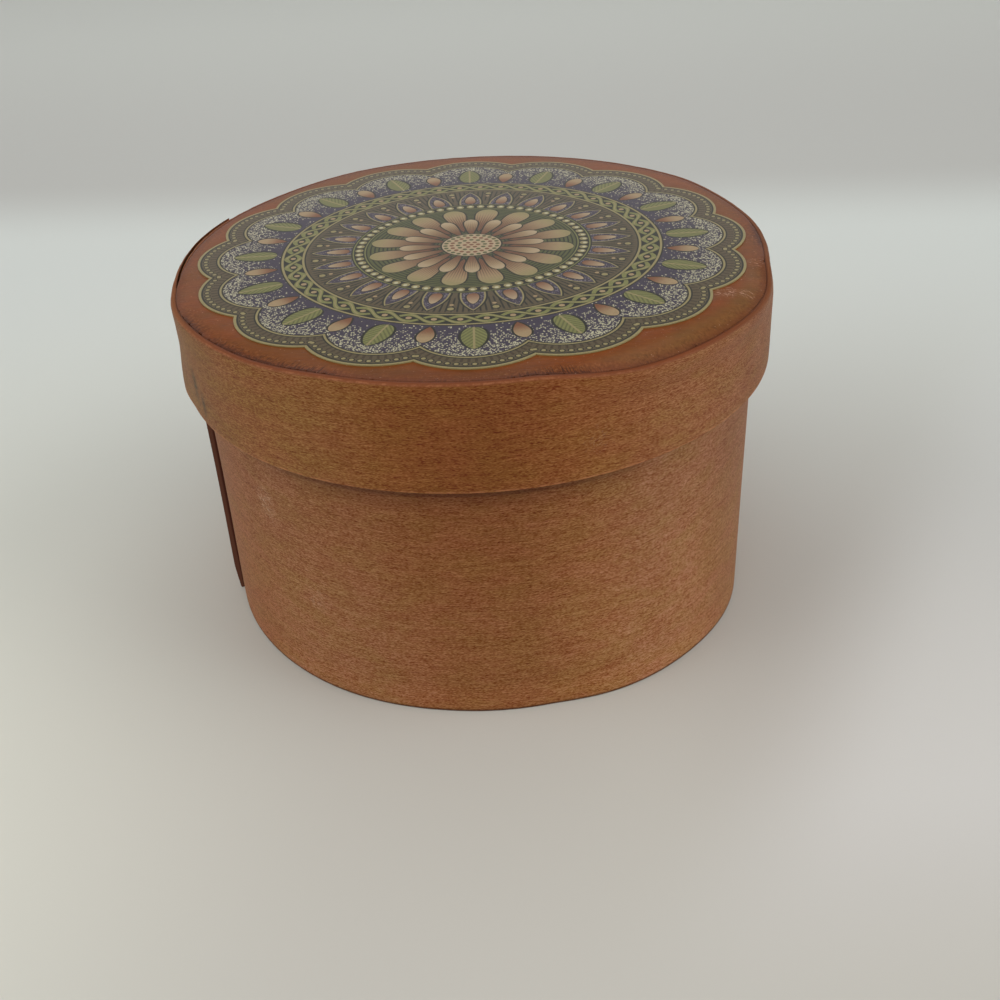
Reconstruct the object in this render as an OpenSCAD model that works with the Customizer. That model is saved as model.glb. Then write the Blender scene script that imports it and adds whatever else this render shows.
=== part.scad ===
// Round bentwood trinket box with a deep lid that lifts off.
// Each band is one strip of veneer, bent into a hoop and glued where its end laps over its start.
// Sizes are in millimetres. The origin is the middle of the underside, with +Z up and -Y at the front.

/* [Body] */
// Diameter of the space inside the box
inner_d = 111; // [70:0.5:180]
// Height of the body's band, whose rim carries the lid
body_h = 70.4; // [45:0.2:140]
// Thickness of the body's veneer
body_veneer_t = 1.4; // [0.8:0.1:2.4]
// Length of strip in which the body's lap climbs to its square end
body_lap_len = 50; // [30:1:60]
// Direction of the body's lap end, in degrees from +X
body_lap_at = -168; // [-180:1:180]
// Height of the tapered foot at the body's lap
lap_foot_h = 6; // [2:0.5:12]
// Depth of that taper at the underside
lap_foot_cut = 0.5; // [0.1:0.1:0.7]
// Thickness at which both laps start their climb
lap_start_t = 0.1; // [0.05:0.01:0.15]

/* [Lid] */
// Depth of the lid's band
lid_h = 20.8; // [12:0.2:40]
// Thickness of the lid's veneer
lid_veneer_t = 1.4; // [1:0.1:2.4]
// Radial gap between the lid's band and the body's lap
lid_gap = 0.3; // [0.2:0.05:1]
// Length of strip in which the lid's lap climbs to its thinned end
lid_lap_len = 40; // [25:1:60]
// Height of the step at that thinned end
lid_lap_step = 0.4; // [0.2:0.1:0.8]
// Direction of the lid's lap end, in degrees from +X
lid_lap_at = 155; // [-180:1:180]
// Radius of the worn edge round the top of the lid
lid_edge_r = 0.8; // [0.3:0.1:0.8]

/* [Panels] */
// Thickness of the base panel
base_t = 3; // [2:0.1:6]
// Thickness of the lid's panel
lid_panel_t = 3; // [2:0.1:6]
// Glue gap round each panel
glue_gap = 0.05; // [0.02:0.01:0.15]
// Radius of the other eased edges
edge_ease = 0.3; // [0.1:0.05:0.4]

/* [Print] */
// Diameter of the paper print across its lobes
print_d = 110; // [50:0.5:114]
// Thickness of the paper
print_t = 0.2; // [0.1:0.05:0.5]
// Number of lobes round the paper
print_lobes = 16; // [8:1:24]
// Depth of the scallops between the lobes
scallop_depth = 3; // [1:0.25:4]

/* [Hidden] */
$fn = 180;
body_in_r = inner_d / 2;
body_out_r = body_in_r + body_veneer_t;
lap_out_r = body_out_r + body_veneer_t;
lid_in_r = lap_out_r + lid_gap;
lid_out_r = lid_in_r + lid_veneer_t;
lid_top = body_h + lid_panel_t;
lid_foot = lid_top - lid_h;
print_r = print_d / 2;
cusp_r = print_r - scallop_depth;
// Skin of the hoop that is left inside the root of a lap
lap_root_t = 0.2;
// Directions in which the strips run back from their lap ends, seen from above
clockwise = -1;
anticlockwise = 1;

// Angle at the middle for a length of strip laid round a radius
function strip_angle(len, r) = len / r * 180 / PI;

// Offset of a lap's own centre, so that it starts at radius r and has climbed by rise after the span
function lap_offset(r, rise, span) = (rise * rise + 2 * r * rise) / (2 * (r * (1 - cos(span)) + rise));

// What a rounded corner of radius r takes away, with its centre at the origin
module corner_waste(r) {
  difference() {
    square(2 * r);
    circle(r);
  }
}

// Section of a strip or panel, with its outer edges rounded above and below
module eased_section(r_in, r_out, h, top_r, foot_r) {
  difference() {
    translate([r_in, 0])
      square([r_out - r_in, h]);
    translate([r_out - top_r, h - top_r])
      corner_waste(top_r);
    translate([r_out - foot_r, foot_r])
      mirror([0, 1])
        corner_waste(foot_r);
  }
}

// Sector of a disc that starts at one angle and sweeps through another
module sector(r, h, from, sweep) {
  arc_steps = 4;
  arc = [for (i = [0 : arc_steps]) from + sweep * i / arc_steps];
  linear_extrude(h)
    polygon(concat([[0, 0]], [for (a = arc) r * [cos(a), sin(a)]]));
}

// Outer ply of a lap, whose own circle is set off the hoop's centre towards the lap end
module lap_ply(r, wall, h, step, len, at, turn, top_r) {
  span = strip_angle(len, r);
  shift = lap_offset(r + lap_start_t, step - lap_start_t, span);
  difference() {
    intersection() {
      translate(shift * [cos(at), sin(at), 0])
        rotate_extrude()
          eased_section(0, r + step - shift, h, top_r, edge_ease);
      sector(2 * r, h, at, turn * span);
    }
    cylinder(r = r - wall + lap_root_t, h = h);
  }
}

// A strip bent into a hoop, with the ply of its lap on the outside
module lapped_hoop(r_in, wall, h, step, len, at, turn, top_r) {
  r_out = r_in + wall;
  rotate_extrude()
    eased_section(r_in, r_out, h, top_r, edge_ease);
  lap_ply(r_out, wall, h, step, len, at, turn, top_r);
}

// Tapered cut round the foot of the body's lap
module lap_foot_waste() {
  outside = lap_out_r + body_veneer_t;
  rotate_extrude()
    polygon([[lap_out_r - lap_foot_cut, 0], [outside, 0], [outside, lap_foot_h], [lap_out_r, lap_foot_h]]);
}

module body_band() {
  color("#7a4c2d")
    difference() {
      lapped_hoop(body_in_r, body_veneer_t, body_h, body_veneer_t, body_lap_len, body_lap_at, clockwise,
                  edge_ease);
      lap_foot_waste();
    }
}

module panel(r, t) {
  rotate_extrude()
    eased_section(0, r - glue_gap, t, edge_ease, edge_ease);
}

module base_disc() {
  color("#80563a")
    panel(body_in_r, base_t);
}

module lid_band() {
  color("#704322")
    translate([0, 0, lid_foot])
      lapped_hoop(lid_in_r, lid_veneer_t, lid_h, lid_lap_step, lid_lap_len, lid_lap_at, anticlockwise,
                  lid_edge_r);
}

module lid_disc() {
  color("#7d5138")
    translate([0, 0, body_h])
      panel(lid_in_r, lid_panel_t);
}

// Paper medallion whose lobes are arcs that meet in cusps
module lid_print() {
  lobe_at = (print_r * print_r - cusp_r * cusp_r) / (2 * (print_r - cusp_r * cos(180 / print_lobes)));
  color("#6b6450")
    translate([0, 0, lid_top])
      linear_extrude(print_t) {
        circle(lobe_at);
        for (i = [0 : print_lobes - 1])
          rotate(360 / print_lobes * i)
            translate([lobe_at, 0])
              circle(print_r - lobe_at);
      }
}

body_band();
base_disc();
lid_band();
lid_disc();
lid_print();
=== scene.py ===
import math
import random

import bmesh
import bpy
from mathutils import Matrix, Vector


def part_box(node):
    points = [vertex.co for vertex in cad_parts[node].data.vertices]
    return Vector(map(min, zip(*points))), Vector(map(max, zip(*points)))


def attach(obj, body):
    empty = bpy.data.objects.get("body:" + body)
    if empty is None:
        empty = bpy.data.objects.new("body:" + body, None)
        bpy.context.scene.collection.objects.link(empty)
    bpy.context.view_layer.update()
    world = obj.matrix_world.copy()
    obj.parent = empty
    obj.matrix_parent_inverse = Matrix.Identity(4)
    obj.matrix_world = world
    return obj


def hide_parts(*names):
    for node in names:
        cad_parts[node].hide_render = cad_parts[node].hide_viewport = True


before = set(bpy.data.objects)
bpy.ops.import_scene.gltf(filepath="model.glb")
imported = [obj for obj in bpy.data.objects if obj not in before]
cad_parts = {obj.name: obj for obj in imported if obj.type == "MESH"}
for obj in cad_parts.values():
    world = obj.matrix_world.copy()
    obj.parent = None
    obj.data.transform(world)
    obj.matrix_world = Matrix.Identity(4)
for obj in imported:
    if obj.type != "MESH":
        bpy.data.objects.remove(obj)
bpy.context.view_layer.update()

mm = 0.001
fullTurn = 2 * math.pi
scene = bpy.context.scene
scene.view_settings.view_transform = "Standard"
print("frame loaded, nodes:", ", ".join(sorted(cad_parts)))


# Plain arithmetic on node sockets, for shader trees and geometry trees alike
class Wire:
    def __init__(self, tree, socket):
        self.tree = tree
        self.socket = socket


def feed(socket, value):
    if isinstance(value, Wire):
        socket.id_data.links.new(value.socket, socket)
    elif value is not None:
        socket.default_value = value


def addNode(tree, kind, settings=None, **feeds):
    node = tree.nodes.new(kind)
    for key, value in (settings or {}).items():
        setattr(node, key, value)
    for label, value in feeds.items():
        feed(node.inputs[label.replace("_", " ")], value)
    return node


def outlet(node, label=0):
    return Wire(node.id_data, node.outputs[label])


def feedInOrder(node, values):
    for socket, value in zip(node.inputs, values):
        feed(socket, value)
    return outlet(node)


def treeOf(values):
    return next(v.tree for v in values if isinstance(v, Wire))


def calc(operation, *values, clamp=False):
    node = addNode(treeOf(values), "ShaderNodeMath", {"operation": operation, "use_clamp": clamp})
    return feedInOrder(node, values)


def mathStep(operation):
    return lambda *values: calc(operation, *values)


sine = mathStep("SINE")
cosine = mathStep("COSINE")
arcTangent = mathStep("ARCTAN2")
absolute = mathStep("ABSOLUTE")
floored = mathStep("FLOOR")
root = mathStep("SQRT")
most = mathStep("MAXIMUM")
above = mathStep("GREATER_THAN")


def addSign(sign, operation):
    setattr(Wire, f"__{sign}__", lambda a, b: calc(operation, a, b))
    setattr(Wire, f"__r{sign}__", lambda a, b: calc(operation, b, a))


addSign("add", "ADD")
addSign("sub", "SUBTRACT")
addSign("mul", "MULTIPLY")
addSign("truediv", "DIVIDE")
addSign("pow", "POWER")


def clamped(x):
    return calc("ADD", x, 0.0, clamp=True)


def smooth(x, low, high):  # 0 below low, 1 above high, or falling if low is the higher one
    node = addNode(x.tree, "ShaderNodeMapRange", {"interpolation_type": "SMOOTHSTEP"})
    return feedInOrder(node, (x, low, high))


def vector(*sides):
    return feedInOrder(addNode(treeOf(sides), "ShaderNodeCombineXYZ"), sides)


def parts(v):
    node = addNode(v.tree, "ShaderNodeSeparateXYZ", Vector=v)
    return [Wire(v.tree, s) for s in node.outputs]


def distance(a, b):
    node = addNode(a.tree, "ShaderNodeVectorMath", {"operation": "DISTANCE"})
    feedInOrder(node, (a, b))
    return outlet(node, "Value")


def fromAxis(x, y):  # distance from the upright axis, kept just off zero
    return root(x ** 2.0 + y ** 2.0 + 1e-8)


def noiseAt(v, scale=1.0, detail=2.0, roughness=0.5):
    return outlet(addNode(v.tree, "ShaderNodeTexNoise", Vector=v, Scale=scale, Detail=detail,
                          Roughness=roughness))


def cellsAt(v):  # distance to the nearest point, and that cell's random colour
    node = addNode(v.tree, "ShaderNodeTexVoronoi", Vector=v, Scale=1.0)
    return outlet(node, "Distance"), outlet(node, "Color")


def blendColour(factor, a, b, mode="MIX"):
    settings = {"data_type": "RGBA", "blend_type": mode}
    node = addNode(treeOf((factor, a, b)), "ShaderNodeMix", settings)
    for index, value in ((0, factor), (6, a), (7, b)):
        feed(node.inputs[index], value)
    return outlet(node, 2)


def tinted(share, colour, tint):
    return blendColour(share, colour, tint, "MULTIPLY")


def shaded(colour, tone):  # the colour times one grey value
    return tinted(1.0, colour, vector(tone, tone, tone))


def paint(red, green, blue):  # screen values from 0 to 255, as the linear colour that a socket takes
    def linear(c):
        c = c / 255
        return c / 12.92 if c <= 0.04045 else ((c + 0.055) / 1.055) ** 2.4
    return (linear(red), linear(green), linear(blue), 1.0)


# Camera, placed as the photo was taken
photoCamera = {
    "place": (2.86 * mm, -222.26 * mm, 157.93 * mm),
    "pitchDown": math.radians(33.33),
    "roll": math.radians(-3.20),
    "focalPixels": 1152.2,
    "framePixels": 1000,
    "sensor": 36.0,
    "clipStart": 0.01,
}


def makeCamera(spec):
    lens = bpy.data.cameras.new("photoCamera")
    lens.sensor_width = spec["sensor"]
    lens.lens = spec["sensor"] * spec["focalPixels"] / spec["framePixels"]
    lens.clip_start = spec["clipStart"]
    camera = bpy.data.objects.new("photoCamera", lens)
    scene.collection.objects.link(camera)
    pitch = spec["pitchDown"]
    forward = Vector((0, math.cos(pitch), -math.sin(pitch)))
    level = Vector((1, 0, 0))
    upright = level.cross(forward)
    across = math.cos(spec["roll"]) * level + math.sin(spec["roll"]) * upright
    upward = math.cos(spec["roll"]) * upright - math.sin(spec["roll"]) * level
    turn = Matrix((across, upward, -forward)).transposed()
    camera.matrix_world = Matrix.Translation(spec["place"]) @ turn.to_4x4()
    scene.camera = camera


makeCamera(photoCamera)
print("camera placed")

# Sizes that the solids give
lidLow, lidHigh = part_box("lid_band")
bodyLow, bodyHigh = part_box("body_band")
lidDiscLow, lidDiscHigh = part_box("lid_disc")
baseLow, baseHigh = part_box("base_disc")
printLow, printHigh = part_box("lid_print")
glueGap = 0.05 * mm
weldGap = 0.002 * mm
sharpAngle = math.radians(40)


# Finished objects
def tidyMesh(mesh):
    bm = bmesh.new()
    bm.from_mesh(mesh)
    bmesh.ops.remove_doubles(bm, verts=bm.verts, dist=weldGap)
    bmesh.ops.recalc_face_normals(bm, faces=bm.faces)
    bm.to_mesh(mesh)
    bm.free()
    for face in mesh.polygons:
        face.use_smooth = True
    mesh.set_sharp_from_angle(angle=sharpAngle)
    return mesh


def addPiece(name, mesh, body, slot, *nodes):
    piece = bpy.data.objects.new(name, tidyMesh(mesh))
    scene.collection.objects.link(piece)
    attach(piece, body)
    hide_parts(*nodes)


# Node groups
def startGroup(name, family, inputs, outputs):
    tree = bpy.data.node_groups.new(name, family + "NodeTree")
    for way, sockets in (("INPUT", inputs), ("OUTPUT", outputs)):
        for label, kind in sockets:
            tree.interface.new_socket(label, in_out=way, socket_type="NodeSocket" + kind)
    given = tree.nodes.new("NodeGroupInput")
    result = tree.nodes.new("NodeGroupOutput")
    return tree, {label: outlet(given, label) for label, kind in inputs}, result


def pointPlace(tree):
    return outlet(tree.nodes.new("GeometryNodeInputPosition"))


def keepField(tree, geometry, kind, label, value):  # carries a field along with the geometry
    node = tree.nodes.new("GeometryNodeCaptureAttribute")
    node.capture_items.new(kind, label)
    feed(node.inputs["Geometry"], geometry)
    feed(node.inputs[label], value)
    return outlet(node, "Geometry"), outlet(node, label)


def storeField(tree, geometry, kind, domain, label, value):
    settings = {"data_type": kind, "domain": domain}
    node = addNode(tree, "GeometryNodeStoreNamedAttribute", settings,
                   Geometry=geometry, Name=label, Value=value)
    return outlet(node, "Geometry")


def endTree(tree, geometry, material, result):
    real = addNode(tree, "GeometryNodeRealizeInstances", Geometry=geometry)
    worn = addNode(tree, "GeometryNodeSetMaterial", Geometry=outlet(real), Material=material)
    feed(result.inputs["Geometry"], outlet(worn))


def growMesh(tree, values):  # runs a tree once and returns its plain mesh
    holder = bpy.data.objects.new("holder", bpy.data.meshes.new("holder"))
    scene.collection.objects.link(holder)
    modifier = holder.modifiers.new("grow", "NODES")
    modifier.node_group = tree
    for item in tree.interface.items_tree:
        if item.in_out == "INPUT":
            modifier[item.identifier] = values[item.name]
    graph = bpy.context.evaluated_depsgraph_get()
    made = holder.evaluated_get(graph)
    mesh = bpy.data.meshes.new_from_object(made, preserve_all_data_layers=True, depsgraph=graph)
    bpy.data.objects.remove(holder)
    return mesh


# Hoops bent from one strip, each lapped over its own start and a little out of round
outOfRound = ("Dent A ", "Dent B ", "Sag A ", "Sag B ", "Bulge A ", "Bulge B ")
hoopInputs = [(label, "Float") for label in (
    "Inner Radius", "Veneer", "Height", "Foot", "Lap Angle", "Lap Span", "Lap Rise", "Lap Start",
    "Lap Turn", "Lap Foot Cut", "Lap Foot Height", "Top Edge", "Inner Edge", "Foot Edge", "Row Spacing",
    "Warp", "Edge Wander", "Pare", "Dent Reach", "Sag Reach", "Bulge Reach", "Held From", "Free From")]
hoopInputs += [(place + what, "Float") for place in outOfRound for what in ("Angle", "Spread", "Depth")]
hoopInputs += [("Columns", "Int"), ("Material", "Material")]
edgeSteps = 6
warpStep = 60 * mm
innerZone = (3.0 * mm, 0.5 * mm)  # depths below the rim where the inner face's lean starts and is full
rubZone = 2.5 * mm
fullShare = 0.15  # middle part of a dent's spread that has its full depth


def bentHoopTree():
    tree, given, result = startGroup("bentHoop", "Geometry", hoopInputs, [("Geometry", "Geometry")])
    veneer, height = given["Veneer"], given["Height"]
    inner, span, turn = given["Inner Radius"], given["Lap Span"], given["Lap Turn"]
    # the strip's length, straight for now
    line = addNode(tree, "GeometryNodeCurvePrimitiveLine", End=(1.0, 0.0, 0.0))
    rail = addNode(tree, "GeometryNodeResampleCurve", Curve=outlet(line), Count=given["Columns"])
    railCurve, along = keepField(tree, outlet(rail), "FLOAT", "along", parts(pointPlace(tree))[0])
    # the strip's section, with rounded edges and rows enough to warp
    outline = addNode(tree, "GeometryNodeCurvePrimitiveQuadrilateral", Width=veneer, Height=height)
    cornerX, cornerY = parts(pointPlace(tree))[:2]
    edge = given["Inner Edge"] + above(cornerX, 0.0) * (given["Top Edge"] - given["Inner Edge"])
    edge = given["Foot Edge"] + above(cornerY, 0.0) * (edge - given["Foot Edge"])
    rounded = addNode(tree, "GeometryNodeFilletCurve", {"mode": "POLY"},
                      Curve=outlet(outline), Radius=edge, Count=edgeSteps)
    here = pointPlace(tree)
    ahead = addNode(tree, "GeometryNodeOffsetPointInCurve", Offset=1)
    there = addNode(tree, "GeometryNodeFieldAtIndex", {"data_type": "FLOAT_VECTOR"},
                    Index=outlet(ahead, "Point Index"), Value=here)
    cuts = floored(distance(here, outlet(there)) / given["Row Spacing"])
    rows = addNode(tree, "GeometryNodeSubdivideCurve", Curve=outlet(rounded), Cuts=cuts)
    sectionCurve, place = keepField(tree, outlet(rows), "VECTOR", "section", pointPlace(tree))
    sweep = addNode(tree, "GeometryNodeCurveToMesh",
                    Curve=railCurve, Profile_Curve=sectionCurve, Fill_Caps=True)
    # where each point of the straight strip ends up on the hoop
    placeX, placeY = parts(place)[:2]
    depth = clamped(placeX / veneer + 0.5)  # 0 on the inside, 1 on the outside
    rise = placeY + height * 0.5
    angle = along * (span + fullTurn)
    firstPly = clamped(angle / span)
    lastPly = clamped((angle - fullTurn) / span)
    onLap = above(angle, fullTurn)
    start = given["Lap Start"]
    wedge = start + (veneer - start) * firstPly * (2.0 - firstPly)
    climb = lastPly * (2.0 - lastPly)
    insideR = inner + onLap * (start + (veneer - start) * climb + glueGap)
    footCut = given["Lap Foot Cut"] * clamped(1.0 - rise / given["Lap Foot Height"])
    outsideR = inner + wedge + given["Lap Rise"] * climb - onLap * footCut
    theta = given["Lap Angle"] + turn * span - turn * angle
    spot = vector(cosine(theta), sine(theta), rise / warpStep)
    free = smooth(rise, given["Held From"], given["Free From"])  # a panel holds one edge of the hoop true
    wave = (noiseAt(spot, scale=1.7, detail=1.0) - 0.5) * 2.0 * given["Warp"] * free
    lower = 1.0 - rise / height
    footShare = 1.0 - smooth(rise, 0.0, given["Bulge Reach"])
    sagShare = smooth(rise, height - given["Sag Reach"], height)
    innerTop = smooth(rise, height - innerZone[0], height - innerZone[1])
    outerTop = smooth(rise, height - given["Dent Reach"], height)
    lean = given["Pare"] * innerTop * (1.0 - depth)
    drop = 0.0
    for place in outOfRound:
        spread = given[place + "Spread"]
        swell = smooth(cosine(theta - given[place + "Angle"]), cosine(spread), cosine(spread * fullShare))
        swell = swell * given[place + "Depth"]
        if "Dent" in place:  # pressed in at the top
            lean = lean - swell * (innerTop + depth * (outerTop - innerTop))
        elif "Sag" in place:  # splayed out and down at the top
            lean = lean + swell * sagShare
            drop = drop + swell * sagShare
        else:  # swollen at the foot
            lean = lean + swell * footShare
    radius = insideR + depth * (outsideR - insideR) + wave + lean
    rim = vector(cosine(theta) * 9.0, sine(theta) * 9.0, 4.0 + lower)
    wander = (noiseAt(rim, scale=1.6, detail=3.0) - 0.5) * 2.0 * given["Edge Wander"]
    rubbed = absolute(wander) * smooth(rise, height - rubZone, height) * smooth(depth, 0.2, 1.0)
    reach = radius - rubbed
    moved = vector(reach * cosine(theta), reach * sine(theta), given["Foot"] + rise - rubbed - drop)
    bent = addNode(tree, "GeometryNodeSetPosition", Geometry=outlet(sweep), Position=moved)
    # what the finish needs to know
    grain = vector(angle * (inner + veneer * 0.5), rise - depth * veneer, 0.0)
    geometry = storeField(tree, outlet(bent), "FLOAT2", "CORNER", "stripUV", grain)
    ends = above(absolute(along - 0.5), 0.5 - 0.5 / given["Columns"])
    geometry = storeField(tree, geometry, "FLOAT", "FACE", "endFace", ends)
    fromOutside = (1.0 - depth) * veneer
    fields = {
        "outerSide": depth,
        "toTopEdge": root(fromOutside ** 2.0 + (height - rise) ** 2.0),
        "toFootEdge": root(fromOutside ** 2.0 + rise ** 2.0),
        "fromTop": height - rise,
    }
    for label, value in fields.items():
        geometry = storeField(tree, geometry, "FLOAT", "POINT", label, value)
    endTree(tree, geometry, given["Material"], result)
    return tree


hoopTree = bentHoopTree()


def outOfTrue(place, angle, spread, depth):  # degrees, degrees and millimetres
    return {
        place + " Angle": math.radians(angle),
        place + " Spread": math.radians(spread),
        place + " Depth": depth * mm,
    }


bodyHoop = {
    "Inner Radius": baseHigh.x + glueGap,
    "Veneer": bodyHigh.x - baseHigh.x - glueGap,
    "Height": bodyHigh.z - bodyLow.z,
    "Foot": bodyLow.z,
    "Lap Angle": math.radians(-168),
    "Lap Span": 50 * mm / bodyHigh.x,
    "Lap Rise": 1.4 * mm,
    "Lap Start": 0.1 * mm,
    "Lap Turn": -1.0,
    "Lap Foot Cut": 0.5 * mm,
    "Lap Foot Height": 6 * mm,
    "Top Edge": 0.3 * mm,
    "Inner Edge": 0.3 * mm,
    "Foot Edge": 0.3 * mm,
    "Row Spacing": 3.0 * mm,
    "Columns": 800,
    "Warp": 0.1 * mm,
    "Edge Wander": 0.05 * mm,
    "Pare": 0.0,
    **outOfTrue("Dent A", 0, 30, 0.0),
    **outOfTrue("Dent B", 180, 30, 0.0),
    **outOfTrue("Sag A", -48, 30, 0.0),
    **outOfTrue("Sag B", -146, 30, 0.0),
    **outOfTrue("Bulge A", -47, 33, 1.6),
    **outOfTrue("Bulge B", -143, 45, 0.6),
    "Dent Reach": 5 * mm,
    "Sag Reach": 5 * mm,
    "Bulge Reach": 36 * mm,
    "Held From": 3.5 * mm,
    "Free From": 14 * mm,
}

lidHoop = {
    "Inner Radius": lidDiscHigh.x + glueGap,
    "Veneer": lidHigh.x - lidDiscHigh.x - glueGap,
    "Height": lidHigh.z - lidLow.z,
    "Foot": lidLow.z,
    "Lap Angle": math.radians(155),
    "Lap Span": 40 * mm / lidHigh.x,
    "Lap Rise": 0.4 * mm,
    "Lap Start": 0.1 * mm,
    "Lap Turn": 1.0,
    "Lap Foot Cut": 0.0,
    "Lap Foot Height": 6 * mm,
    "Top Edge": 0.6 * mm,
    "Inner Edge": 0.03 * mm,
    "Foot Edge": 0.3 * mm,
    "Row Spacing": 1.5 * mm,
    "Columns": 1000,
    "Warp": 0.12 * mm,
    "Edge Wander": 0.12 * mm,
    "Pare": 0.3 * mm,
    **outOfTrue("Dent A", 4, 34, 1.5),
    **outOfTrue("Dent B", 160, 45, 1.8),
    **outOfTrue("Sag A", -48, 34, 1.6),
    **outOfTrue("Sag B", -144, 30, 0.5),
    **outOfTrue("Bulge A", -12, 26, 0.15),
    **outOfTrue("Bulge B", 184, 20, 0.9),
    "Dent Reach": 8 * mm,
    "Sag Reach": 9 * mm,
    "Bulge Reach": 12 * mm,
    "Held From": 17.3 * mm,
    "Free From": 9 * mm,
}


def ease(x, low, high):
    t = min(max((x - low) / (high - low), 0.0), 1.0)
    return t * t * (3 - 2 * t)


def hoopLean(hoop, a, z):  # how far the inside of a hoop stands out of round, and how far its rim sags
    rise, height = z - hoop["Foot"], hoop["Height"]
    topShare = ease(rise, height - innerZone[0], height - innerZone[1])
    shares = {
        "Dent": -topShare,
        "Sag": ease(rise, height - hoop["Sag Reach"], height),
        "Bulge": 1 - ease(rise, 0.0, hoop["Bulge Reach"]),
    }
    lean, sag = hoop["Pare"] * topShare, 0.0
    for place in outOfRound:
        spread = hoop[place + "Spread"]
        swell = ease(math.cos(a - hoop[place + "Angle"]), math.cos(spread), math.cos(spread * fullShare))
        swell *= hoop[place + "Depth"]
        kind = place.split()[0]
        lean += swell * shares[kind]
        if kind == "Sag":
            sag += swell
    return lean, sag


# Round panels, turned from a section and torn a little at the rim
def turnedPanel(name, spec, hoop, tearAt):
    section, columns = panelSection(spec), spec["columns"]
    mesh = bpy.data.meshes.new(name)
    bm = bmesh.new()
    rings = []
    for r, z, torn, pressed, sunk in section:
        ring = []
        for i in range(columns):
            a = fullTurn * i / columns
            lean, sag = hoopLean(hoop, a, z)
            reach = r + pressed * lean - torn * tearAt(a)
            ring.append(bm.verts.new((reach * math.cos(a), reach * math.sin(a), z - sunk * sag)))
        rings.append(ring)
    for low, high in zip(rings, rings[1:]):
        for i in range(columns):
            j = (i + 1) % columns
            bm.faces.new((low[i], low[j], high[j], high[i]))
    bm.faces.new(rings[0])
    bm.faces.new(rings[-1])
    bm.to_mesh(mesh)
    bm.free()
    outer = max(ring[0] for ring in section)
    inset = mesh.attributes.new("rimInset", "FLOAT", "POINT")
    inset.data.foreach_set("value", [outer - ring[0] for ring in section for i in range(columns)])
    return mesh


lidPanel = {
    "radius": lidDiscHigh.x,
    "top": lidDiscHigh.z,
    "underside": lidDiscLow.z,
    "columns": 1440,
    "edge": 0.03 * mm,
    "tearSeed": 11,
    "tears": 120,
    "tearDepth": (0.03 * mm, 0.3 * mm),
    "tearWidth": (0.15 * mm, 0.32 * mm),
    # middle and spread in degrees
    "torn": ((-132, 13), (-149, 7), (-119, 9), (-78, 9), (-3, 8), (-40, 40)),
}


def lidTears(spec):
    draw = random.Random(spec["tearSeed"])
    tears = []
    for i in range(spec["tears"]):
        middle, spread = spec["torn"][i % len(spec["torn"])]
        where = math.radians(draw.gauss(middle, spread * 0.6))
        deep = draw.uniform(0, 1) ** 2.0
        depth = spec["tearDepth"][0] + deep * (spec["tearDepth"][1] - spec["tearDepth"][0])
        wide = draw.uniform(*spec["tearWidth"]) / spec["radius"]
        tears.append((where, depth, wide))

    def tearAt(a):
        a = (a + math.pi) % fullTurn - math.pi
        torn = 0.0
        for where, depth, wide in tears:
            off = abs(a - where) / wide
            if off < 1:
                torn = max(torn, depth * (1 - off * off))
        return torn

    return tearAt


def panelSection(spec):  # rings as radius, height, and shares of tear, lean and sag
    radius, edge = spec["radius"], spec["edge"]
    low, high = spec["underside"], spec["top"]
    section = [(r * mm, high, 0, 0, 0) for r in (12, 40, 50)]
    for step, lean, sag in ((5.5, 0.4, 0), (3.6, 0.8, 0.03), (2.5, 1, 0.25), (1.6, 1, 0.52)):
        section.append((radius - step * mm, high, 0, lean, sag))
    for step, tear, sag in ((0.6, 0.5, 0.85), (0.15, 0.85, 0.96)):
        section.append((radius - edge - step * mm, high, tear, 1, sag))
    for i in range(1, 6):
        a = math.pi / 2 * (1 - i / 5)
        section.append((radius - edge + edge * math.cos(a), high - edge + edge * math.sin(a), 1, 1, 1))
    section += [
        (radius, (low + high) / 2, 0.4, 1, 0.4),
        (radius, low + edge, 0, 1, 0),
        (radius - edge, low, 0, 1, 0),
        (radius - 4 * mm, low, 0, 0.8, 0),
        (40 * mm, low, 0, 0, 0),
        (12 * mm, low, 0, 0, 0),
    ]
    return section


basePanel = {
    "radius": baseHigh.x,
    "top": baseHigh.z,
    "underside": baseLow.z,
    "columns": 480,
    "edge": 0.3 * mm,
}


# Paper cut to a scalloped rosette
paperInputs = [(label, "Float") for label in ("Crest Radius", "Cusp Radius", "Thickness", "Foot")]
paperInputs += [("Lobes", "Int"), ("Points", "Int"), ("Material", "Material")]


def wedgeFold(theta, count, part=0.0):  # angle from the middle of the nearest of count equal wedges
    cell = fullTurn / count
    return theta - cell * floored(theta / cell + (0.5 - part)) - part * cell


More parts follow.
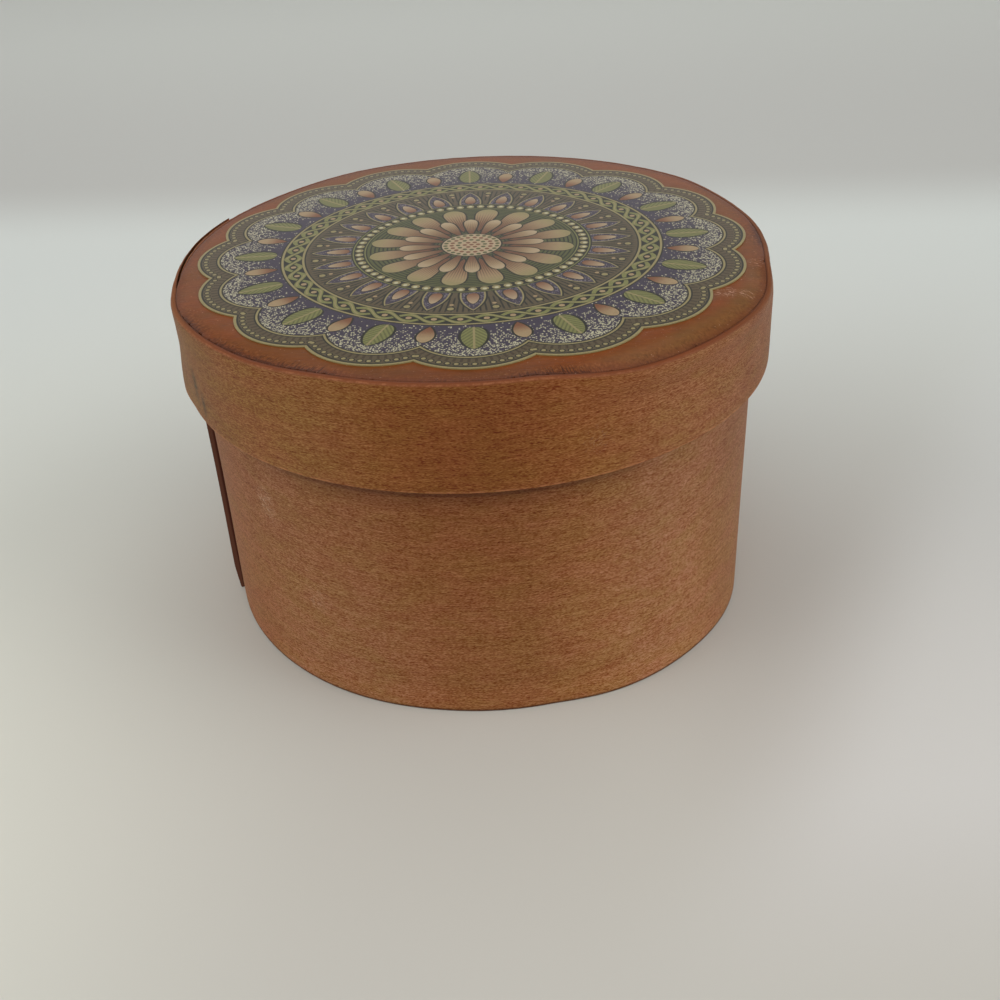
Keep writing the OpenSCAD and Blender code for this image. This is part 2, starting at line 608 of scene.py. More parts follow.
def paperRosetteTree():
    tree, given, result = startGroup("paperRosette", "Geometry", paperInputs, [("Geometry", "Geometry")])
    crest, cusp, lobes = given["Crest Radius"], given["Cusp Radius"], given["Lobes"]
    ring = addNode(tree, "GeometryNodeCurvePrimitiveCircle", Resolution=given["Points"], Radius=1.0)
    atX, atY = parts(pointPlace(tree))[:2]
    half = math.pi / lobes
    lobeAt = (crest * crest - cusp * cusp) / (2.0 * (crest - cusp * cosine(half)))
    fold = wedgeFold(arcTangent(atY, atX), lobes)
    across = lobeAt * sine(fold)
    reach = lobeAt * cosine(fold) + root((crest - lobeAt) ** 2.0 - across * across)
    moved = vector(reach * atX, reach * atY, 0.0)
    outline = addNode(tree, "GeometryNodeSetPosition", Geometry=outlet(ring), Position=moved)
    sheet = addNode(tree, "GeometryNodeFillCurve", {"mode": "NGONS"}, Curve=outlet(outline))
    raised = addNode(tree, "GeometryNodeExtrudeMesh", {"mode": "FACES"}, Mesh=outlet(sheet),
                     Offset=(0.0, 0.0, 1.0), Offset_Scale=given["Thickness"], Individual=False)
    under = addNode(tree, "GeometryNodeFlipFaces", Mesh=outlet(sheet))
    both = addNode(tree, "GeometryNodeJoinGeometry")
    for side in (raised, under):
        feed(both.inputs[0], outlet(side, "Mesh"))
    lift = vector(0.0, 0.0, given["Foot"])
    lifted = addNode(tree, "GeometryNodeSetPosition", Geometry=outlet(both), Offset=lift)
    endTree(tree, outlet(lifted), given["Material"], result)
    return tree


paperRosette = {
    "Crest Radius": printHigh.x,
    "Cusp Radius": printHigh.x - 3 * mm,
    "Lobes": 16,
    "Thickness": printHigh.z - printLow.z,
    "Foot": printLow.z,
    "Points": 960,
}


# Finishes
grainDepth = 0.1 * mm
figureFields = ("Dash", "Pore", "Fibre", "Cloud", "Patch")


def newMaterial(name):
    material = bpy.data.materials.new(name)
    material.use_nodes = True
    tree = material.node_tree
    return material, tree, tree.nodes["Principled BSDF"]


def placeGroup(tree, group, **feeds):
    return addNode(tree, "ShaderNodeGroup", {"node_tree": group}, **feeds)


def attribute(tree, name):
    return outlet(addNode(tree, "ShaderNodeAttribute", {"attribute_name": name}), "Fac")


def objectPlace(tree):
    return outlet(tree.nodes.new("ShaderNodeTexCoord"), "Object")


def dressShader(shader, colour, roughness, specular):
    feed(shader.inputs["Base Color"], colour)
    feed(shader.inputs["Roughness"], roughness)
    feed(shader.inputs["Specular IOR Level"], specular)


def raiseGrain(tree, shader, strength, height):
    bump = addNode(tree, "ShaderNodeBump", Strength=strength, Distance=grainDepth, Height=height)
    feed(shader.inputs["Normal"], outlet(bump))


def veneerFigureGroup():
    # flecks, pores, fibres and clouding of stained veneer, from metres along and across the grain
    tree, given, result = startGroup(
        "veneerFigure", "Shader",
        (("Grain Position", "Vector"), ("Shift", "Float")),
        [(label, "Float") for label in figureFields],
    )
    u, v = parts(given["Grain Position"])[:2]
    u = u / mm + given["Shift"]
    v = v / mm
    drift = noiseAt(vector(u / 16.0, v / 8.0, 0.0), detail=1.0)
    bentV = v + (drift - 0.5)

    def spun(a, b):  # turned, so that the noise's own grid doesn't show in the streaks
        return vector(0.71 * a - 0.5 * b, 0.5 * a + 0.71 * b, 0.5 * a - 0.5 * b)

    fleck = parts(cellsAt(vector(u / 1.1, bentV / 0.125, 0.0))[1])[0]
    fine = noiseAt(spun(u / 0.52, bentV / 0.1), detail=0.0)
    far, tone = cellsAt(vector(u / 3.0, bentV / 0.42, 8.0))
    figure = {
        "Dash": fleck * 0.48 + smooth(fine, 0.41, 0.59) * 0.52,
        "Pore": smooth(far, 0.34, 0.1) * smooth(parts(tone)[1], 0.5, 0.8),
        "Fibre": noiseAt(spun(u / 9.0, bentV / 0.36), detail=3.0, roughness=0.55),
        "Cloud": noiseAt(vector(u / 9.0, v / 4.5, 1.0), detail=3.0, roughness=0.55),
        "Patch": noiseAt(vector(u / 42.0, v / 26.0, 2.0), detail=1.0),
    }
    for label, value in figure.items():
        feed(result.inputs[label], value)
    return tree


veneerFigure = veneerFigureGroup()


def figureAt(tree, grain, shift):
    figure = placeGroup(tree, veneerFigure, Grain_Position=grain, Shift=shift)
    return [outlet(figure, label) for label in figureFields]


def handlingMarksGroup():
    # a patch of fine slanting scratches round one place
    tree, given, result = startGroup(
        "handlingMarks", "Shader",
        (("Grain Position", "Vector"), ("Place", "Vector"), ("Centre", "Vector"), ("Reach", "Float")),
        (("Scratch", "Float"),),
    )
    near = smooth(distance(given["Place"], given["Centre"]) / given["Reach"], 1.0, 0.3)
    u, v = parts(given["Grain Position"])[:2]
    slant = (u * 0.8 - v * 0.6) / (1.6 * mm)
    across = (u * 0.6 + v * 0.8) / (0.3 * mm)
    scratch = noiseAt(vector(slant, across, 0.0), roughness=0.6)
    far, tone = cellsAt(vector(u / (0.5 * mm), v / (0.42 * mm), 0.0))
    nicks = smooth(far, 0.34, 0.16) * above(parts(tone)[0], 0.66)
    feed(result.inputs["Scratch"], near * most(smooth(scratch, 0.54, 0.68), nicks))
    return tree


handlingMarks = handlingMarksGroup()


def nearAngle(place, middle, spread):  # 1 at an angle round the box and 0 from the spread outward
    x, y = parts(place)[:2]
    turn = math.radians(middle)
    facing = (x * math.cos(turn) + y * math.sin(turn)) / fromAxis(x, y)
    return smooth(facing, math.cos(math.radians(spread)), math.cos(math.radians(spread * 0.2)))


def scratched(tree, colour, finish, grain, place):
    for centre, reach, strength in finish["scratches"]:
        marks = placeGroup(tree, handlingMarks, Grain_Position=grain, Place=place, Reach=reach * mm)
        marks.inputs["Centre"].default_value = [c * mm for c in centre]
        colour = blendColour(outlet(marks) * strength, colour, finish["scratch"])
    return colour


bodyVeneer = {
    "redStain": (0.99, 0.91, 1.0, 1.0),  # multiplied with the wood
    "tanStain": (0.93, 0.97, 0.84, 1.0),
    "dark": paint(103, 38, 1),
    "light": paint(170, 124, 91),
    "rub": paint(186, 134, 100),
    "rim": paint(138, 84, 50),
    "rimDark": paint(112, 64, 36),
    "footShadow": paint(62, 31, 12),
    "endGrain": paint(106, 66, 50),
    "glueAndLidShadow": paint(70, 28, 12),
    "scratch": paint(205, 186, 160),
    "scratches": (  # centre, reach and strength
        ((-41.4, -39.0, 40.8), 3.4, 0.5),
        ((-41.2, -39.2, 37.8), 3.2, 0.4),
        ((-33.0, -46.5, 22.0), 4.0, 0.25),
    ),
    "stains": (),
    "shift": 0.0,
    "paintedSideLight": (  # middle and spread in degrees, height in millimetres, tint
        (-160, 30, -30, (0.98, 0.93, 0.86, 1.0)),
        (-120, 22, -30, (1.04, 1.08, 1.1, 1.0)),
        (-98, 42, 20, (1.0, 0.94, 0.85, 1.0)),
        (-86, 30, -30, (0.98, 0.92, 0.8, 1.0)),
        (-58, 26, -30, (1.18, 1.26, 1.36, 1.0)),
        (-20, 25, -30, (1.01, 1.04, 1.12, 1.0)),
    ),
    "rimPaintedLight": (),
    "rubbedSide": (-112, 180),
    "paintedTopShade": 0.14,
    "paintedLidShadow": (50.6 * mm, 0.9, -98, 46),  # height, strength, middle and spread in degrees
    "paintedFloorBounce": 0.12,
    "footRub": 0.0,
    "paintedFootShadow": (0.35, 0.8, 0.75),  # full within, gone beyond, strength
    "roughness": 0.58,
    "specular": 0.2,
    "bump": 0.25,
}

lidVeneer = {
    "redStain": (0.98, 0.89, 0.98, 1.0),
    "tanStain": (0.93, 0.97, 0.84, 1.0),
    "dark": paint(95, 30, 1),
    "light": paint(154, 108, 68),
    "rub": paint(178, 118, 80),
    "rim": paint(132, 70, 34),
    "rimDark": paint(104, 52, 24),
    "footShadow": paint(60, 30, 14),
    "endGrain": paint(112, 70, 54),
    "glueAndLidShadow": paint(82, 38, 18),
    "scratch": paint(196, 170, 140),
    "scratches": (((51.8, -30.2, 62.0), 4.5, 0.3), ((20.0, -56.6, 60.0), 4.0, 0.2)),
    "stain": paint(54, 47, 30),
    "stains": (((-53.3, -28.2, 59.8), 2.2, 0.95), ((-51.6, -31.0, 57.0), 1.6, 0.8)),
    "shift": 137.0,
    "paintedSideLight": (
        (-160, 30, 0, (0.92, 1.02, 0.9, 1.0)),
        (-118, 24, 0, (1.08, 1.16, 1.1, 1.0)),
        (-87, 32, 0, (0.95, 0.83, 0.6, 1.0)),
        (-60, 28, 0, (1.22, 1.33, 1.58, 1.0)),
        (-24, 26, 0, (1.03, 1.06, 1.25, 1.0)),
    ),
    "rimPaintedLight": (
        (-172, 36, (1.15, 1.4, 1.4, 1.0)),
        (-8, 44, (0.95, 1.12, 1.2, 1.0)),
    ),
    "rubbedSide": (-112, 74),
    "paintedTopShade": 0.0,
    "paintedLidShadow": None,
    "paintedFloorBounce": 0.0,
    "footRub": 0.6,
    "paintedFootShadow": (0.14, 0.28, 0.6),
    "roughness": 0.56,
    "specular": 0.2,
    "bump": 0.25,
}


def veneerMaterial(name, finish):
    material, tree, shader = newMaterial(name)
    uv = outlet(addNode(tree, "ShaderNodeUVMap", {"uv_map": "stripUV"}))
    along, across = parts(uv)[:2]
    place = objectPlace(tree)
    x, y, z = parts(place)
    dash, pore, fibre, cloud, patch = figureAt(tree, uv, finish["shift"])
    # wood and stain
    paleness = clamped(0.92 * dash + 0.6 * fibre - 0.26)
    red, green, blue = parts(blendColour(paleness, finish["dark"], finish["light"]))
    colour = vector(red, green, blue * root(paleness))  # pale flecks are greyer
    colour = blendColour(pore * 0.16, colour, finish["dark"])
    cloudy = smooth(patch * 0.3 + cloud * 0.7, 0.36, 0.64)
    colour = tinted(1.0, colour, blendColour(cloudy, finish["redStain"], finish["tanStain"]))
    # painted shade: the body darker toward its top, under the lid's edge
    colour = shaded(colour, 1.0 - finish["paintedTopShade"] * smooth(across, 10 * mm, 50 * mm))
    # painted sheen and shade: paler and darker sides, then marks
    for middle, spread, low, tint in finish["paintedSideLight"]:
        share = nearAngle(place, middle, spread) * smooth(z, low * mm, (low + 20) * mm)
        colour = tinted(share, colour, tint)
    colour = scratched(tree, colour, finish, uv, place)
    for centre, reach, strength in finish["stains"]:
        cx, cy, cz = [c * mm for c in centre]
        off = root((x - cx) ** 2.0 + (y - cy) ** 2.0 + ((z - cz) * 0.4) ** 2.0)
        blot = smooth(off, reach * mm, 0.1 * mm) * smooth(fibre * 0.5 + cloud * 0.5, 0.36, 0.56)
        colour = blendColour(blot * strength, colour, finish["stain"])
    # rim and rubbed edges, with painted sheen on the rim, painted light and shadow near the foot and
    # painted shadow under the lid
    rubNoise = noiseAt(vector(along / (2.4 * mm), across / (1.2 * mm), 0.0), detail=3.0)
    breaks = noiseAt(vector(along / (0.7 * mm), across / mm, 4.0), detail=3.0, roughness=0.65)
    toTop, toFoot = attribute(tree, "toTopEdge"), attribute(tree, "toFootEdge")
    rimTop = smooth(attribute(tree, "fromTop"), 0.6 * mm, 0.1 * mm)
    colour = blendColour(rimTop, colour, blendColour(fibre, finish["rim"], finish["rimDark"]))
    # painted sheen: the rim's top paler and greyer toward the left and right
    for middle, spread, tint in finish["rimPaintedLight"]:
        colour = tinted(rimTop * nearAngle(place, middle, spread), colour, tint)
    topRub = smooth(toTop, 0.5 * mm, 0.2 * mm) * nearAngle(place, *finish["rubbedSide"])
    topRub = topRub * (0.2 + 0.8 * smooth(rubNoise * 0.4 + breaks * 0.6, 0.45, 0.6))
    footRub = smooth(toFoot, 0.25 * mm, 0.35 * mm) * smooth(toFoot, 0.7 * mm, 0.4 * mm)
    footRub = footRub * (0.1 + 0.9 * smooth(rubNoise, 0.42, 0.58))
    colour = blendColour(most(topRub * 0.5, footRub * finish["footRub"]), colour, finish["rub"])
    # painted light: the body paler toward its foot, as light thrown up from the floor
    colour = shaded(colour, 1.0 + finish["paintedFloorBounce"] * smooth(across, 7.0 * mm, 1.0 * mm))
    # painted shadow: a dark line along the foot edge, where the edge turns down and, on the body, meets the
    # floor
    full, faint, strength = finish["paintedFootShadow"]
    colour = blendColour(smooth(toFoot, faint * mm, full * mm) * strength, colour, finish["footShadow"])
    if finish["paintedLidShadow"]:  # painted shadow below the lid's overhanging edge, a little lower at the sides
        lineAt, strength, middle, spread = finish["paintedLidShadow"]
        level = z + 4.2 * mm * (1.0 + y / fromAxis(x, y))
        thin = smooth(level, lineAt - 0.8 * mm, lineAt - 0.15 * mm)
        soft = smooth(level, lineAt - 4.5 * mm, lineAt)
        lidShadow = (0.35 * thin + 0.3 * soft) * smooth(level, lineAt + 1.4 * mm, lineAt + 0.4 * mm)
        colour = blendColour(lidShadow * strength * nearAngle(place, middle, spread), colour, finish["glueAndLidShadow"])
    # end grain and glue at the laps
    depth = attribute(tree, "outerSide")
    endColour = blendColour(smooth(depth, 0.5, 0.15), finish["endGrain"], finish["glueAndLidShadow"])
    colour = blendColour(rimTop * smooth(depth, 0.4, 0.05) * 0.7, colour, finish["glueAndLidShadow"])
    colour = blendColour(attribute(tree, "endFace"), colour, endColour)
    roughness = finish["roughness"] + 0.12 * (fibre - 0.5) + 0.1 * pore
    dressShader(shader, colour, roughness, finish["specular"])
    raiseGrain(tree, shader, finish["bump"], fibre * 0.7 + dash - pore)
    return material


lidWood = {
    "red": paint(127, 65, 24),
    "tan": paint(118, 66, 24),
    "dark": paint(72, 34, 16),
    "pale": paint(150, 96, 60),
    "seam": paint(104, 50, 26),
    "torn": lidPanel["torn"][:5],  # all but the widest
    "rimPaintedLight": ((-44, 30, (0.95, 1.4, 2.3, 1.0)), (-94, 24, (0.8, 0.83, 0.74, 1.0))),
    "scratch": paint(206, 168, 146),
    "scratches": (
        ((45.5, -29.9, 73.4), 3.0, 0.8),
        ((49.4, -30.4, 73.4), 2.0, 0.9),
        ((54.0, -16.8, 73.4), 3.0, 0.5),
    ),
    "shift": 300.0,
    "roughness": 0.36,
    "specular": 0.22,
    "bump": 0.15,
}

baseWood = dict(lidWood, red=paint(150, 98, 62), tan=paint(144, 98, 60), shift=500.0, roughness=0.55,
                specular=0.2, scratches=(), torn=(), rimPaintedLight=())


def panelMaterial(name, finish, radius):
    material, tree, shader = newMaterial(name)
    spot = objectPlace(tree)
    x, y, z = parts(spot)
    grain = vector(x, y + z, 0.0)
    dash, pore, fibre, cloud, patch = figureAt(tree, grain, finish["shift"])
    colour = blendColour(smooth(patch * 0.5 + cloud * 0.5, 0.4, 0.6), finish["red"], finish["tan"])
    colour = blendColour(pore * 0.3 + (1.0 - dash) * 0.14, colour, finish["dark"])
    mottle = noiseAt(vector(x / (2.6 * mm), y / (1.8 * mm), 3.0), detail=4.0, roughness=0.65)
    colour = shaded(colour, 0.62 + 0.2 * fibre + 0.56 * mottle)
    inset = attribute(tree, "rimInset")
    # painted sheen and shade near the rim: greyer at the front right, darker at the front
    for middle, spread, tint in finish["rimPaintedLight"]:
        rimLight = nearAngle(spot, middle, spread) * smooth(inset, 4.6 * mm, 2.6 * mm)
        colour = tinted(rimLight, colour, tint)
    # crumbs, hairs and a dark seam at the rim
    around = arcTangent(y, x) * radius
    frayed = smooth(noiseAt(vector(around / (5.0 * mm), 0.0, 5.0)), 0.44, 0.66) * 0.4
    for middle, spread in finish["torn"]:
        frayed = most(frayed, nearAngle(spot, middle, spread))
    crumbs = noiseAt(vector(around / (0.5 * mm), inset / (0.6 * mm), 2.0), detail=3.0, roughness=0.6)
    rough = smooth(inset, 3.4 * mm, 0.8 * mm) * (0.5 + 0.5 * frayed)
    colour = blendColour(rough * smooth(crumbs, 0.5, 0.64) * 0.7, colour, finish["dark"])
    colour = blendColour(rough * smooth(crumbs, 0.48, 0.36) * 0.6, colour, finish["pale"])
    strand = noiseAt(vector(around / (0.22 * mm), inset / (3.0 * mm), 0.0), detail=1.0)
    longest = noiseAt(vector(around / (0.35 * mm), 3.0, 7.0), detail=1.0)
    reach = (0.4 + 3.4 * frayed * smooth(longest, 0.36, 0.7)) * mm
    hairs = smooth(strand, 0.48, 0.57) * smooth(inset, reach, 0.5 * reach)
    width = (0.14 + 0.9 * frayed * smooth(crumbs, 0.35, 0.6)) * mm
    colour = blendColour(0.5 * smooth(inset, 1.7 * mm, 0.3 * mm), colour, finish["seam"])
    colour = blendColour(frayed * 0.75 * smooth(inset, width, 0.6 * width), colour, finish["dark"])
    colour = blendColour(hairs * (0.3 + 0.65 * frayed), colour, finish["dark"])
    colour = scratched(tree, colour, finish, spot, spot)
    speck = noiseAt(vector(x / (0.4 * mm), y / (0.3 * mm), z / mm), detail=1.0)
    colour = blendColour(smooth(speck, 0.72, 0.8) * 0.5, colour, finish["scratch"])
    dressShader(shader, colour, finish["roughness"] + 0.1 * (fibre - 0.5), finish["specular"])
    raiseGrain(tree, shader, finish["bump"], fibre - pore)
    return material


inks = {
    "cream": paint(176, 162, 124),
    "white": paint(228, 223, 205),
    "taupe": paint(108, 94, 76),
    "umber": paint(84, 68, 52),
    "indigo": paint(74, 64, 92),
    "lavender": paint(150, 142, 166),
    "olive": paint(148, 148, 98),
    "moss": paint(104, 108, 68),
    "line": paint(44, 42, 33),
    "blush": paint(194, 166, 138),
    "pink": paint(210, 186, 166),
    "rust": paint(146, 92, 66),
}

paperDesign = {  # radii and widths in millimetres
    "dotStep": 0.36,
    "leaf": {"foot": 39.2, "length": 8.6, "wide": 2.5, "power": 0.8},
    "bud": {"foot": 38.8, "length": 6.4, "wide": 1.7, "power": 1.4},
    "beadTurn": math.radians(6.6),
    "beadInset": 1.6,
    "borderRings": ((0.5, 0.86, "line"), (-1.0, 0.5, "cream"), (3.6, 3.9, "line"), (3.9, 4.3, "cream"),
                    (4.3, 4.6, "line")),
    "braidRadius": 35.75,
    "braidTurns": 24,
    "arches": 24,
    "archFoot": 23.8,
    "archLength": 8.9,
    "drop": {"foot": 24.6, "length": 4.6, "wide": 1.15, "power": 0.7},
    "beads": 64,
    "petals": 16,
    "petalRows": (  # part of a turn, foot, tip, half width and ink
        (0.5, 7.0, 20.7, 3.5, "cream"),
        (0.0, 4.0, 14.6, 2.35, "pink"),
    ),
    "seedRings": ((1, 0.0), (6, 1.35), (12, 2.7), (18, 4.0), (24, 5.25)),  # how many at which radius
    "seed": 0.46,
    "fade": (0.63, 0.62, 0.49),
}


def inked(mask, under, ink):
    return blendColour(mask, under, inks[ink])


def ring(x, low, high, soft=0.05):  # 1 between low and high
    return smooth(x, low - soft, low + soft) * smooth(x, high + soft, high - soft)


def below(x, limit, soft=0.05):
    return smooth(x, limit + soft, limit - soft)


def dotAt(r, fold, centre, size):
    ahead = r * cosine(fold) - centre
    aside = r * sine(fold)
    return below(root(ahead * ahead + aside * aside), size)


def leafShape(ahead, spec):  # share of the length, and half the width there
    s = clamped((ahead - spec["foot"]) / spec["length"])
    return s, spec["wide"] * root(sine(math.pi * s ** spec["power"]))


def lobeReach(spec):  # centre and radius of the arcs that make the scallops
    crest, cusp = spec["Crest Radius"] / mm, spec["Cusp Radius"] / mm
    centre = (crest ** 2 - cusp ** 2) / (2 * (crest - cusp * math.cos(math.pi / spec["Lobes"])))
    return centre, crest - centre


def paperMaterial(design):
    material, tree, shader = newMaterial("printedPaper")
    x, y = [side / mm for side in parts(objectPlace(tree))[:2]]
    r = root(x * x + y * y)
    theta = arcTangent(y, x)

    def dotRing(colour, count, part, *rows):  # dots of a radius, a size and an ink
        fold = wedgeFold(theta, count, part)
        for centre, size, ink in rows:
            colour = inked(dotAt(r, fold, centre, size), colour, ink)
        return colour

    # stippled ground, pale outside and deep inside
    far, tone = cellsAt(vector(x / design["dotStep"], y / design["dotStep"], 0.0))
    chance = parts(tone)[0]
    stipple = below(far, 0.46, 0.12)
    share = 0.1 + 0.85 * smooth(r, 38.5, 50.0)
    colour = inked(stipple * above(share, chance), inks["indigo"], "white")
    # a tall leaf on each scallop's middle
    lobes = paperRosette["Lobes"]
    fold = wedgeFold(theta, lobes)
    ahead, aside = r * cosine(fold), absolute(r * sine(fold))
    halfWide = leafShape(ahead, design["leaf"])[1]
    veins = smooth(sine((ahead - aside * 1.3) * 5.2), -0.3, 0.7)
    leaf = inked(veins * 0.75, inks["olive"], "moss")
    leaf = inked(below(aside, 0.2), leaf, "cream")
    colour = blendColour(below(aside, halfWide), colour, leaf)
    colour = inked(below(absolute(aside - halfWide), 0.24) * ring(ahead, 39.2, 47.9), colour, "line")
    # a bud between each two leaves
    between = wedgeFold(theta, lobes, 0.5)
    ahead, aside = r * cosine(between), absolute(r * sine(between))
    s, halfWide = leafShape(ahead, design["bud"])
    bud = inked(smooth(s, 0.15, 0.8), inks["rust"], "blush")
    colour = blendColour(below(aside, halfWide), colour, bud)
    colour = inked(below(absolute(aside - halfWide), 0.2) * ring(ahead, 38.8, 45.3), colour, "line")
    # the scalloped border
    centre, arc = lobeReach(paperRosette)
    ahead, aside = r * cosine(fold) - centre, r * sine(fold)
    inward = arc - root(ahead * ahead + aside * aside)
    swing = arcTangent(aside, ahead)
    border = above(ahead, 0.0) * above(r, 40.0)
    rays = smooth(sine(swing * 60.0), 0.0, 0.6) * ring(inward, 2.35, 3.6)
    band = inked(rays, inks["taupe"], "umber")
    step, inset = design["beadTurn"], design["beadInset"]
    bead = swing - step * floored(swing / step + 0.5)
    offBead = root((bead * (arc - inset)) ** 2.0 + (inward - inset) ** 2.0)
    band = inked(below(offBead, 0.62), band, "line")
    band = inked(below(offBead, 0.4), band, "cream")
    for low, high, ink in design["borderRings"]:
        band = inked(ring(inward, low, high), band, ink)
    colour = blendColour(border * below(inward, 4.6), colour, band)
    # a two-strand braid
    middle, turns = design["braidRadius"], design["braidTurns"]
    braid = dotRing(inks["line"], 2 * turns, 0.5, (middle, 0.55, "blush"))
    swell = sine(theta * turns) * 1.3
    side = above(cosine(theta * turns), 0.0) * 2.0 - 1.0
    braid = inked(below(absolute(r - middle + side * swell), 0.5), braid, "olive")
    offHigh = absolute(r - middle - side * swell)
    for width, ink in ((0.78, "line"), (0.5, "olive"), (0.16, "cream")):
        braid = inked(below(offHigh, width), braid, ink)
    braid = inked(most(ring(r, 33.5, 33.95), ring(r, 37.6, 38.05)), braid, "cream")
    colour = blendColour(below(r, 38.35), colour, braid)
    # an arcade of pointed arches
    arches = design["arches"]
    aside = absolute(r * sine(wedgeFold(theta, arches)))
    s = clamped((r - design["archFoot"]) / design["archLength"])
    gap = r * (0.86 * math.pi / arches) * (1.0 - s ** 2.2) - aside
    hatch = smooth(sine(theta * (8 * arches)), 0.1, 0.8) * ring(r, 26.5, 32.6, 0.6)
    arcade = inked(hatch, inks["taupe"], "line")
    arcade = dotRing(arcade, arches, 0.5, (31.3, 0.9, "line"), (31.3, 0.62, "cream"), (29.6, 0.4, "blush"))
    inside = inked(stipple * above(0.95 - 0.9 * s, chance), inks["indigo"], "lavender")
    inside = inked(below(gap, 0.72), inside, "cream")
    inside = inked(below(gap, 0.4), inside, "line")
    arcade = blendColour(smooth(gap, -0.05, 0.05), arcade, inside)
    s, halfWide = leafShape(r, design["drop"])
    arcade = inked(below(aside, halfWide + 0.25) * ring(r, 24.5, 29.3), arcade, "line")
    arcade = blendColour(below(aside, halfWide), arcade, blendColour(s, inks["rust"], inks["pink"]))
    colour = blendColour(below(r, 33.2), colour, arcade)
    # a ring of beads
    pearl = dotRing(inks["line"], design["beads"], 0.0, (22.6, 0.82, "cream"), (22.75, 0.4, "white"))
    pearl = inked(most(ring(r, 21.3, 21.55), ring(r, 23.65, 23.9)), pearl, "olive")
    colour = blendColour(below(r, 24.2), colour, pearl)
    # a flower with two rows of petals, on a hatched ground
    hatch = inked(smooth(sine(r * 7.5), 0.0, 0.7), inks["moss"], "line")
    colour = blendColour(below(r, 21.1), colour, hatch)
    for part, foot, tip, wide, ink in design["petalRows"]:
        petal = wedgeFold(theta, design["petals"], part)
        ahead, aside = r * cosine(petal), absolute(r * sine(petal))
        s = clamped((ahead - foot) / (tip - foot))
        gap = wide * s ** 0.75 * root(1.0 - s ** 7.0) - aside
        veins = smooth(sine(petal * 190.0), 0.1, 0.9) * smooth(s, 0.95, 0.4)
        fill = inked(smooth(s, 0.2, 0.85), inks["rust"], "blush")
        fill = inked(smooth(s, 0.65, 1.0), fill, ink)
        fill = inked(veins * 0.8, fill, "umber")
        fill = inked(below(gap, 0.34), fill, "line")
        colour = blendColour(smooth(gap, -0.05, 0.05) * below(ahead, tip), colour, fill)
    # its seeds
    eye = inks["pink"]
    for count, centre in design["seedRings"]:
        eye = dotRing(eye, count, 0.0, (centre, design["seed"], "rust" if count % 12 else "moss"))
    colour = inked(below(r, 6.3), colour, "line")
    colour = blendColour(below(r, 5.95), colour, eye)
    # ink lies a little unevenly on the sheet
    worn = noiseAt(vector(x / 0.9, y / 0.9, 0.0), detail=3.0, roughness=0.7)
    tone = 0.8 + 0.4 * worn
    colour = tinted(1.0, colour, vector(*[tone * share for share in design["fade"]]))
    dressShader(shader, colour, 0.28 + 0.16 * worn, 0.35)
    return material


# Pieces
bodyMesh = growMesh(hoopTree, dict(bodyHoop, Material=veneerMaterial("bodyVeneer", bodyVeneer)))
addPiece("bodyBand", bodyMesh, "box", "body_veneer", "body_band")
print("body hoop bent,", len(bodyMesh.polygons), "faces")

lidMesh = growMesh(hoopTree, dict(lidHoop, Material=veneerMaterial("lidVeneer", lidVeneer)))
addPiece("lidBand", lidMesh, "lid", "lid_veneer", "lid_band")
print("lid hoop bent,", len(lidMesh.polygons), "faces")

discMesh = turnedPanel("lidPanel", lidPanel, lidHoop, lidTears(lidPanel))
discMesh.materials.append(panelMaterial("lidWood", lidWood, lidPanel["radius"]))
addPiece("lidPanel", discMesh, "lid", "lid_wood", "lid_disc")
print("lid panel turned,", len(discMesh.polygons), "faces")

baseMesh = turnedPanel("basePanel", basePanel, bodyHoop, lambda a: 0.0)
baseMesh.materials.append(panelMaterial("baseWood", baseWood, basePanel["radius"]))
addPiece("basePanel", baseMesh, "box", "base_wood", "base_disc")
print("base panel turned,", len(baseMesh.polygons), "faces")

paperMesh = growMesh(paperRosetteTree(), dict(paperRosette, Material=paperMaterial(paperDesign)))
addPiece("paperPrint", paperMesh, "lid", "print_paper", "lid_print")
print("paper cut,", len(paperMesh.polygons), "faces")

# Stage and light
stageLook = {
    "size": 6.0,
    "front": paint(202, 199, 191),
    "back": paint(211, 215, 211),
    "left": paint(228, 228, 216),
    "right": paint(191, 186, 179),
    "paintedLightFarRight": paint(213, 211, 207),
    "wall": paint(188, 188, 184),
    "far": paint(198, 200, 195),
    "roughness": 0.7,
    "specular": 0.5,
}


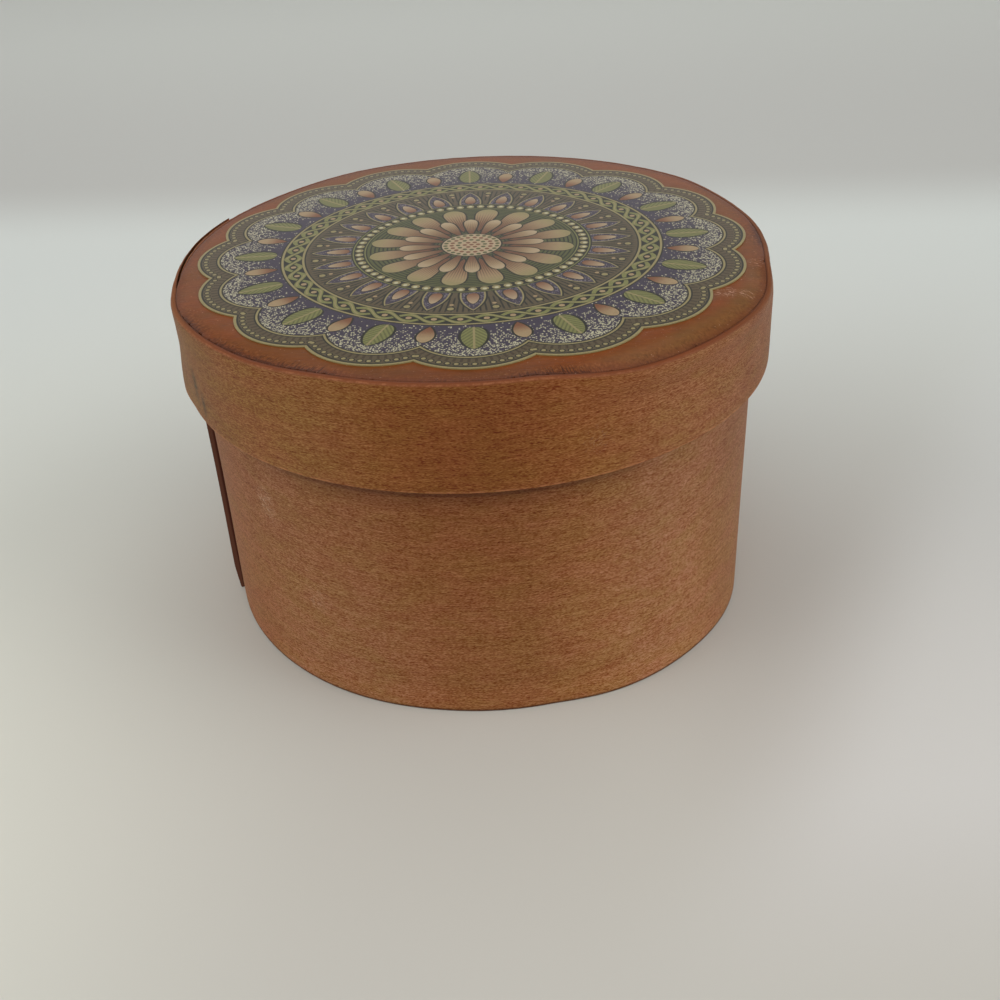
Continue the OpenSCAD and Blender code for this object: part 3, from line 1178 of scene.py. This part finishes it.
def makeFloor(spec):
    mesh = bpy.data.meshes.new("paleFloor")
    half = spec["size"] / 2
    corners = [(-half, -half, 0), (half, -half, 0), (half, half, 0), (-half, half, 0)]
    mesh.from_pydata(corners, [], [(0, 1, 2, 3)])
    floor = bpy.data.objects.new("paleFloor", mesh)
    scene.collection.objects.link(floor)
    material, tree, shader = newMaterial("paleFloor")
    x, y = parts(objectPlace(tree))[:2]  # metres
    # painted light on the floor to the left of the box
    colour = blendColour(smooth(x, -0.02, -0.14), spec["front"], spec["left"])
    # painted shadow on the floor to the right of the box
    shadowBeside = smooth(x, 0.02, 0.07) * smooth(x, 0.17, 0.1) * smooth(y, 0.06, -0.02) * smooth(y, -0.12, -0.07)
    colour = blendColour(shadowBeside, colour, spec["right"])
    # painted light on the floor farther off to the right
    lightApart = smooth(x - 0.6 * y, 0.079, 0.119) * smooth(y, -0.13, -0.08)
    colour = blendColour(lightApart, colour, spec["paintedLightFarRight"])
    colour = blendColour(smooth(y, -0.1, 0.2), colour, spec["back"])
    colour = blendColour(smooth(y + 0.1 * x, 0.2, 0.28), colour, spec["wall"])
    colour = blendColour(smooth(y, 0.3, 0.65), colour, spec["far"])
    dressShader(shader, colour, spec["roughness"], spec["specular"])
    mesh.materials.append(material)


makeFloor(stageLook)

topLamp = {"place": (0.0, 0.2, 0.9), "aim": (0, 0.1, 0.03), "size": 0.9, "power": 2.5}


def makeLamp(spec):
    light = bpy.data.lights.new("topLamp", "AREA")
    light.size = spec["size"]
    light.energy = spec["power"]
    lamp = bpy.data.objects.new("topLamp", light)
    scene.collection.objects.link(lamp)
    lamp.location = spec["place"]
    aim = Vector(spec["aim"]) - lamp.location
    lamp.rotation_euler = aim.to_track_quat("-Z", "Y").to_euler()


makeLamp(topLamp)

roomLook = {
    "front": paint(246, 246, 244),
    "back": paint(60, 61, 61),
    "strength": 0.68,
    "lowGlow": 0.5,
    "windows": ((-1, 2.3), (1, 2.85)),  # side and glow
    "windowToward": (0.918, -0.115, 0.379),
    "windowEdge": (0.81, 0.95),
}


def makeRoom(spec):
    world = bpy.data.worlds.new("softRoom")
    scene.world = world
    world.use_nodes = True
    tree = world.node_tree
    toward = parts(outlet(tree.nodes.new("ShaderNodeTexCoord"), "Generated"))
    upBack = smooth(toward[1], -0.4, 0.5) * smooth(toward[2], 0.2, 0.48)  # dim above the far wall
    lowBack = smooth(toward[1], 0.3, 0.8) * smooth(toward[2], 0.42, 0.22)  # bright near the floor there
    glow = blendColour(upBack, spec["front"], spec["back"])
    back = tree.nodes["Background"]
    feed(back.inputs["Color"], glow)
    strength = spec["strength"] + spec["lowGlow"] * lowBack
    path = tree.nodes.new("ShaderNodeLightPath")
    seen = outlet(path, "Is Camera Ray")
    for ray in ("Is Glossy Ray", "Is Transmission Ray"):
        seen = most(seen, outlet(path, ray))
    across, ahead, up = spec["windowToward"]
    for side, light in spec["windows"]:  # soft windows on either hand, out of sight
        facing = toward[0] * across * side + toward[1] * ahead + toward[2] * up
        strength = strength + light * smooth(facing, *spec["windowEdge"]) * (1.0 - seen)
    feed(back.inputs["Strength"], strength)


makeRoom(roomLook)
print("stage and lamp set")
